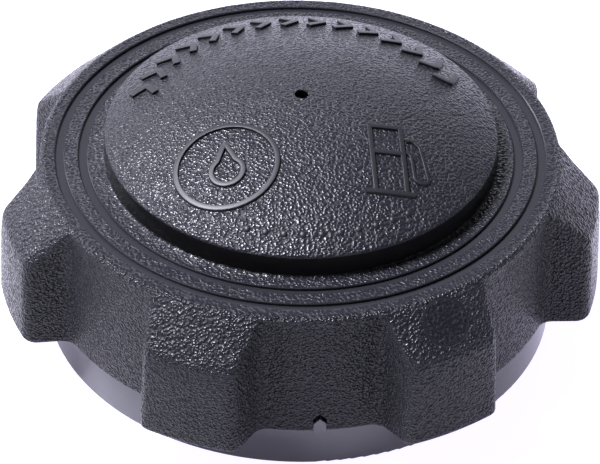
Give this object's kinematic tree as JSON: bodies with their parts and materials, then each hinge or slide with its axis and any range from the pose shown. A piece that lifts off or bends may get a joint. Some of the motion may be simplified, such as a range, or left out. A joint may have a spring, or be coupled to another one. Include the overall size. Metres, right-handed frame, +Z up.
{
  "type": "fuel filler cap",
  "caption": "Black vented screw-on fuel filler cap: domed crown inside ring grooves, lobed ratcheting grip over a smooth-skirted threaded closure.",
  "frame": {"origin": "centre of the closure's mouth, on the filler neck's axis, at the skirt's lower edge", "axes": "+Z up along the neck's axis towards the crown, -Y towards the indicator notch"},
  "size_m": [0.0892, 0.0875, 0.038],
  "materials": {
    "grip_plastic": "grained black moulding",
    "closure_plastic": "smooth satin black moulding",
    "ratchet_plastic": "natural moulding",
    "valve_plastic": "natural moulding",
    "seal_rubber": "fuel-proof black rubber",
    "spring_steel": "bright spring steel",
    "ball_steel": "polished ball",
    "filter_foam": "open-cell foam"
  },
  "bodies": {
    "closure": {"closure_body": "closure_plastic", "neck_gasket": "seal_rubber", "gasket_retainer": "ratchet_plastic", "valve_housing": "valve_plastic", "housing_oring": "seal_rubber", "ball_retainer": "valve_plastic", "spring_cap": "valve_plastic", "vent_filter": "filter_foam", "filter_grid": "valve_plastic", "wave_spring": "spring_steel", "pressure_spring": "spring_steel"},
    "grip": {"grip_shell": "grip_plastic", "retaining_ring": "closure_plastic"},
    "ratchet": {"ratchet_ring": "ratchet_plastic"},
    "pressure_valve": {"pressure_plate": "valve_plastic", "pressure_seal": "seal_rubber", "vacuum_spring": "spring_steel"},
    "vacuum_valve": {"vacuum_poppet": "valve_plastic", "vacuum_clip": "spring_steel"},
    "ball": {"rollover_ball": "ball_steel"}
  },
  "joints": [
    {"name": "grip_turn", "type": "hinge", "parent": "closure", "child": "grip", "pos_m": [0, 0, 0], "axis": [0, 0, -1], "range_deg": [0, 15]},
    {"name": "ratchet_drop", "type": "slide", "parent": "closure", "child": "ratchet", "axis": [0, 0, -1], "range_m": [0, 0.0016], "stiffness_N_per_m": 30, "springref_m": -0.0008, "deforming": ["wave_spring"]},
    {"name": "pressure_lift", "type": "slide", "parent": "closure", "child": "pressure_valve", "axis": [0, 0, 1], "range_m": [0, 0.0014], "stiffness_N_per_m": 150, "springref_m": -0.002, "deforming": ["pressure_spring"]},
    {"name": "vacuum_drop", "type": "slide", "parent": "pressure_valve", "child": "vacuum_valve", "axis": [0, 0, -1], "range_m": [0, 0.0009], "stiffness_N_per_m": 40, "springref_m": -0.002, "deforming": ["vacuum_spring"]},
    {"name": "ball_rise", "type": "slide", "parent": "closure", "child": "ball", "axis": [0, 0, 1], "range_m": [0, 0.0017]}
  ],
  "couplings": [
    {"joint": "ratchet_drop", "follows": "grip_turn", "m_per_rad": 0.00611}
  ]
}
